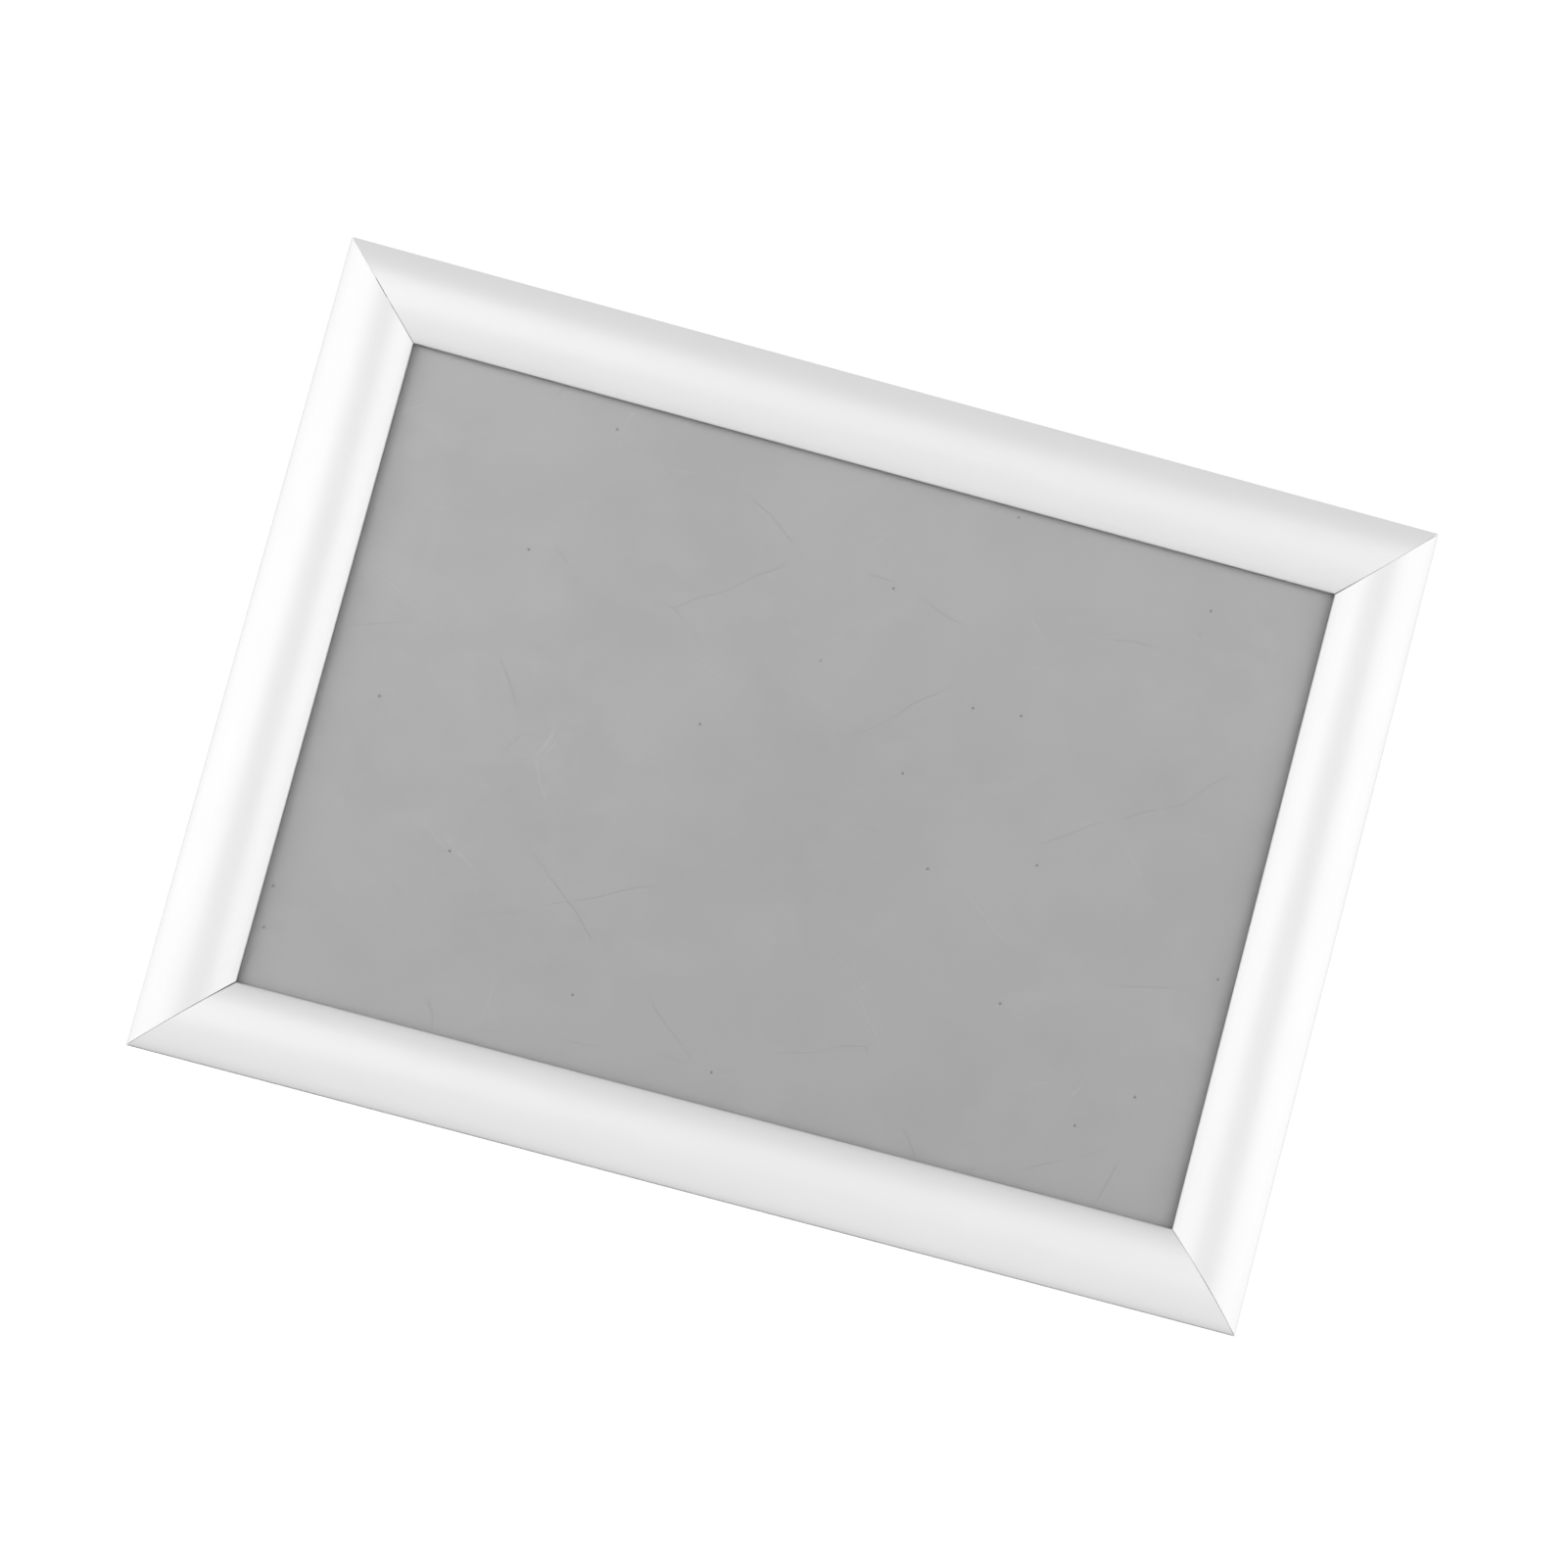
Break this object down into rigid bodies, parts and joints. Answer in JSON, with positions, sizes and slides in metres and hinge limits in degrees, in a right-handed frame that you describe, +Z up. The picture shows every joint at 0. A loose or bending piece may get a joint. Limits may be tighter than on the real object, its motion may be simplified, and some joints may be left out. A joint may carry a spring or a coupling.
{
  "type": "snap frame",
  "caption": "Wall-hung landscape picture frame of arched, mitred aluminium rails whose sprung covers flip open on their outer edges to change the sheet behind a clear front.",
  "frame": {"origin": "centre of the frame on the wall plane, which is the back of the base rails", "axes": "+X to the viewer's right along the long rails, +Y into the wall, +Z up; the front faces -Y"},
  "size_m": [0.327, 0.0098, 0.24],
  "materials": {
    "cover_rail": "satin silver anodised",
    "base_rail": "mill finish, drawn",
    "spring": "blued spring steel strip",
    "corner_key": "bright zinc plate",
    "back_panel": "matt grey polystyrene",
    "front_sheet": "clear anti-glare PET"
  },
  "bodies": {
    "frame": {"base_bottom": "base_rail", "base_left": "base_rail", "base_top": "base_rail", "base_right": "base_rail", "corner_key_bottom_right": "corner_key", "corner_key_bottom_left": "corner_key", "corner_key_top_left": "corner_key", "corner_key_top_right": "corner_key", "spring_bottom_1": "spring", "spring_bottom_2": "spring", "spring_left_1": "spring", "spring_left_2": "spring", "spring_top_1": "spring", "spring_top_2": "spring", "spring_right_1": "spring", "spring_right_2": "spring", "back_panel": "back_panel", "front_sheet": "front_sheet"},
    "flap_bottom": {"cover_bottom": "cover_rail"},
    "flap_left": {"cover_left": "cover_rail"},
    "flap_top": {"cover_top": "cover_rail"},
    "flap_right": {"cover_right": "cover_rail"}
  },
  "joints": [
    {"name": "hinge_bottom", "type": "hinge", "parent": "frame", "child": "flap_bottom", "pos_m": [0, -0.0026, -0.1179], "axis": [1, 0, 0], "range_deg": [0, 95], "deforming": ["spring_bottom_1", "spring_bottom_2"]},
    {"name": "hinge_left", "type": "hinge", "parent": "frame", "child": "flap_left", "pos_m": [-0.1614, -0.0026, 0], "axis": [0, 0, -1], "range_deg": [0, 95], "deforming": ["spring_left_1", "spring_left_2"]},
    {"name": "hinge_top", "type": "hinge", "parent": "frame", "child": "flap_top", "pos_m": [0, -0.0026, 0.1179], "axis": [-1, 0, 0], "range_deg": [0, 95], "deforming": ["spring_top_1", "spring_top_2"]},
    {"name": "hinge_right", "type": "hinge", "parent": "frame", "child": "flap_right", "pos_m": [0.1614, -0.0026, 0], "axis": [0, 0, 1], "range_deg": [0, 95], "deforming": ["spring_right_1", "spring_right_2"]}
  ]
}
